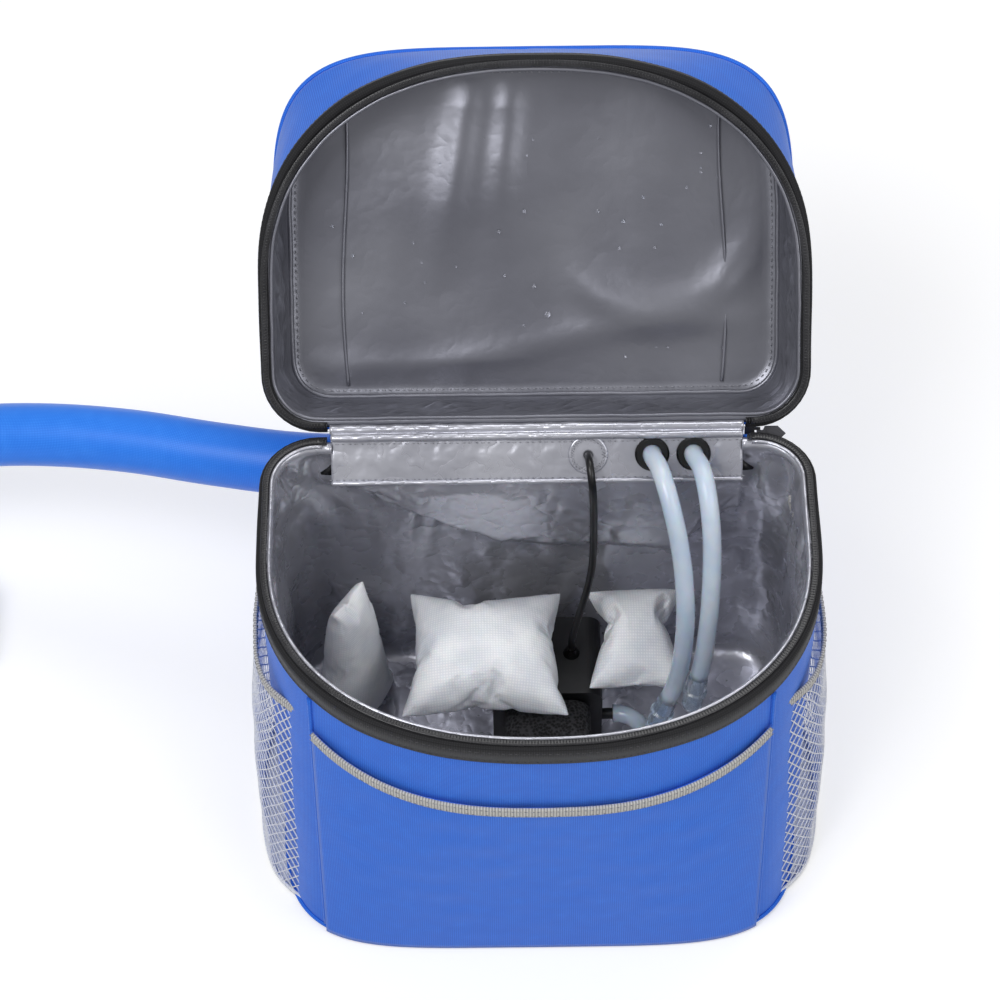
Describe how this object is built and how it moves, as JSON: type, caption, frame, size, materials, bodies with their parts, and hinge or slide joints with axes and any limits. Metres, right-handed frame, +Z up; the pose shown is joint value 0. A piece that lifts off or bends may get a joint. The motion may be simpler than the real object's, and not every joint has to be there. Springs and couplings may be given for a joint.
{
  "type": "hot cold therapy machine",
  "caption": "Soft insulated cooler bag with its zipped lid open, a submersible pump, silicone lines and ice packs inside, and a sleeved hose to a quick coupling.",
  "frame": {"origin": "middle of the bag's flat base, on the surface it stands on", "axes": "+X to the right, +Y to the back where the hose leaves, +Z up"},
  "size_m": [0.871, 0.476, 0.3413],
  "materials": {
    "blue_polyester": "woven, slight sheen",
    "silver_lining": "coated, wrinkled, wet",
    "closed_cell_foam": "matt",
    "grey_board": "matt",
    "grosgrain_binding": "ribbed tape",
    "white_mesh": "diamond net",
    "zip_tape": "woven tape",
    "zip_coil": "nylon coil",
    "black_rubber": "satin",
    "patch_fabric": "stitched",
    "cable_jacket": "satin",
    "clear_silicone": "milky clear",
    "clear_fitting": "clear",
    "black_plastic": "satin",
    "ceramic_shaft": "polished",
    "filter_sponge": "open-cell sponge",
    "ice_pack_cloth": "non-woven, white",
    "hose_sleeve": "woven sleeve",
    "coupling_plastic": "smooth",
    "button_plastic": "smooth",
    "spring_steel": "wire",
    "slider_metal": "painted",
    "pull_rubber": "moulded"
  },
  "bodies": {
    "bag": {"base_panel": "blue_polyester", "front_panel": "blue_polyester", "left_side_panel": "blue_polyester", "right_side_panel": "blue_polyester", "back_panel": "blue_polyester", "base_board": "grey_board", "body_foam": "closed_cell_foam", "body_lining": "silver_lining", "front_pocket": "blue_polyester", "front_pocket_binding": "grosgrain_binding", "left_mesh_pocket": "white_mesh", "right_mesh_pocket": "white_mesh", "left_pocket_binding": "grosgrain_binding", "right_pocket_binding": "grosgrain_binding", "body_zip_tape": "zip_tape", "body_zip_coil": "zip_coil", "hinge_strip": "silver_lining", "hinge_outer_flap": "blue_polyester", "zip_end_tabs": "zip_tape", "supply_grommet": "black_rubber", "return_grommet": "black_rubber", "cable_patch": "patch_fabric", "power_cable": "cable_jacket", "supply_tube": "clear_silicone", "return_tube": "clear_silicone", "supply_connector": "clear_fitting", "return_nozzle": "clear_fitting", "pump_tube": "clear_silicone", "pump_housing": "black_plastic", "pump_cover": "black_plastic", "impeller_shaft": "ceramic_shaft", "suction_cups": "black_rubber", "strainer": "black_plastic", "cable_gland": "cable_jacket", "ice_pack_right": "ice_pack_cloth", "rear_tube_cover": "hose_sleeve", "supply_turn": "clear_silicone", "return_turn": "clear_silicone", "inlet_lead": "cable_jacket", "power_inlet": "black_plastic", "hose_collar": "hose_sleeve", "hose_run": "hose_sleeve", "hose_coil": "hose_sleeve", "coupling_body": "coupling_plastic", "button_spring": "spring_steel", "zip_slider": "slider_metal"},
    "lid": {"lid_top_panel": "blue_polyester", "lid_wall": "blue_polyester", "lid_foam": "closed_cell_foam", "lid_lining": "silver_lining", "lid_zip_tape": "zip_tape", "lid_zip_coil": "zip_coil"},
    "zip_pull": {"zip_pull": "pull_rubber"},
    "impeller": {"impeller": "black_plastic"},
    "filter_sponge": {"filter_sponge": "filter_sponge"},
    "release_button": {"release_button": "button_plastic"},
    "ice_pack_left": {"ice_pack_left": "ice_pack_cloth"},
    "ice_pack_centre": {"ice_pack_centre": "ice_pack_cloth"},
    "ice_pack_front_left": {"ice_pack_front_left": "ice_pack_cloth"},
    "ice_pack_front_centre": {"ice_pack_front_centre": "ice_pack_cloth"}
  },
  "joints": [
    {"name": "lid_hinge", "type": "hinge", "parent": "bag", "child": "lid", "pos_m": [0, 0.095, 0.203], "axis": [1, 0, 0], "range_deg": [0, 132]},
    {"name": "zip_pull_hinge", "type": "hinge", "parent": "bag", "child": "zip_pull", "pos_m": [0.113, 0.0968, 0.1938], "axis": [0, 0.6691, 0.7431], "range_deg": [0, 80]},
    {"name": "impeller_spin", "type": "hinge", "parent": "bag", "child": "impeller", "pos_m": [0.005, 0.022, 0.0397], "axis": [0, 1, 0], "continuous": true},
    {"name": "sponge_pull_off", "type": "slide", "parent": "bag", "child": "filter_sponge", "axis": [0, -1, 0], "range_m": [0, 0.017]},
    {"name": "release_press", "type": "slide", "parent": "bag", "child": "release_button", "axis": [0, 0, -1], "range_m": [0, 0.003], "stiffness_N_per_m": 400, "springref_m": -0.002, "deforming": ["button_spring"]},
    {"name": "left_pack_lift", "type": "slide", "parent": "bag", "child": "ice_pack_left", "axis": [0, 0, 1], "range_m": [0, 0.09]},
    {"name": "centre_pack_lift", "type": "slide", "parent": "bag", "child": "ice_pack_centre", "axis": [0, 0, 1], "range_m": [0, 0.12]},
    {"name": "front_left_pack_lift", "type": "slide", "parent": "bag", "child": "ice_pack_front_left", "axis": [0, 0, 1], "range_m": [0, 0.12]},
    {"name": "front_centre_pack_lift", "type": "slide", "parent": "bag", "child": "ice_pack_front_centre", "axis": [0, 0, 1], "range_m": [0, 0.12]}
  ]
}
